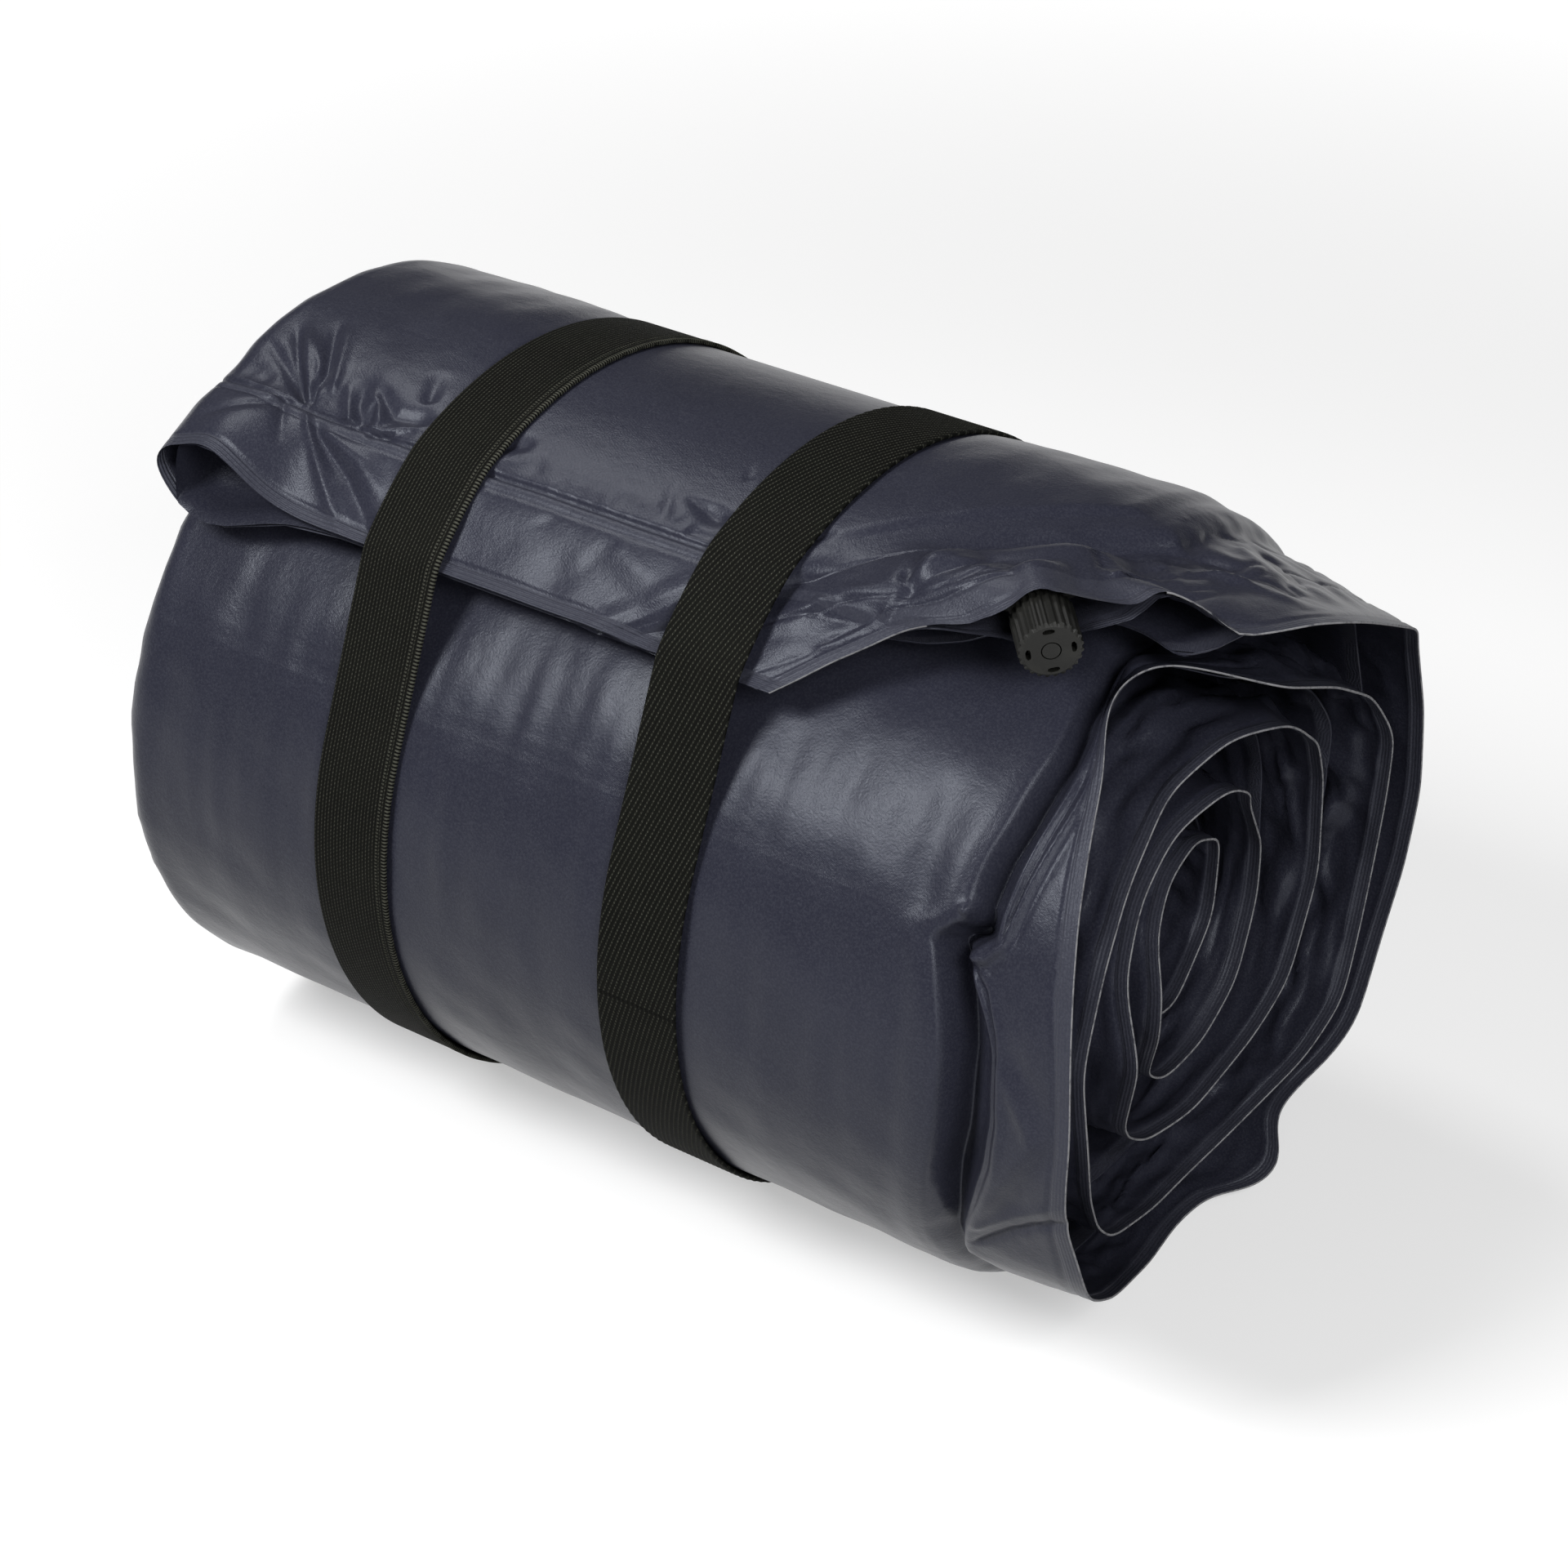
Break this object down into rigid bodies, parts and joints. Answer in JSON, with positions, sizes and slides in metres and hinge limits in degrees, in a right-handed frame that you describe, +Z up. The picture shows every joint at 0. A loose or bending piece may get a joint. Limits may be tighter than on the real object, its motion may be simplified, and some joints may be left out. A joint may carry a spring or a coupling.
{
  "type": "self-inflating sleeping mat",
  "caption": "Self-inflating camping mat, folded in half and rolled up, held by elastic loops, with a screw valve at its cut corner.",
  "frame": {"origin": "centre of the base of the rolled mat's bounding box, on the surface that it lies on", "axes": "+X along the roll's axis towards the valve end, -Y towards the mat's free end at the front, +Z up"},
  "size_m": [0.31, 0.2108, 0.2241],
  "materials": {
    "coated_fabric": "satin coated polyester",
    "foam": "open-cell foam",
    "woven_elastic": "woven elastic",
    "thread": "sewn thread",
    "valve_plastic": "fine moulded matte",
    "rubber": "matte"
  },
  "bodies": {
    "roll": {"outer_sheet": "coated_fabric", "inner_sheet": "coated_fabric", "foam_core": "foam", "valve_body": "valve_plastic", "valve_sealing_ring": "rubber"},
    "far_loop": {"strap_far": "woven_elastic", "strap_far_upper_stitches": "thread", "strap_far_lower_stitches": "thread"},
    "near_loop": {"strap_near": "woven_elastic", "strap_near_upper_stitches": "thread", "strap_near_lower_stitches": "thread"},
    "plunger": {"valve_plunger": "valve_plastic", "plunger_seal": "rubber"},
    "cap": {"valve_cap": "valve_plastic"}
  },
  "joints": [
    {"name": "strap_far_slide", "type": "slide", "parent": "roll", "child": "far_loop", "axis": [1, 0, 0], "range_m": [-0.105, 0.015]},
    {"name": "strap_near_slide", "type": "slide", "parent": "roll", "child": "near_loop", "axis": [1, 0, 0], "range_m": [-0.045, 0]},
    {"name": "valve_lift", "type": "slide", "parent": "roll", "child": "plunger", "axis": [0.6371, -0.7682, -0.0631], "range_m": [0, 0.003]},
    {"name": "cap_turn", "type": "hinge", "parent": "plunger", "child": "cap", "pos_m": [0.098, -0.0348, 0.21665], "axis": [0.6371, -0.7682, -0.0631], "range_deg": [0, 360]}
  ],
  "couplings": [
    {"joint": "cap_turn", "follows": "valve_lift", "rad_per_m": 2094.4}
  ]
}
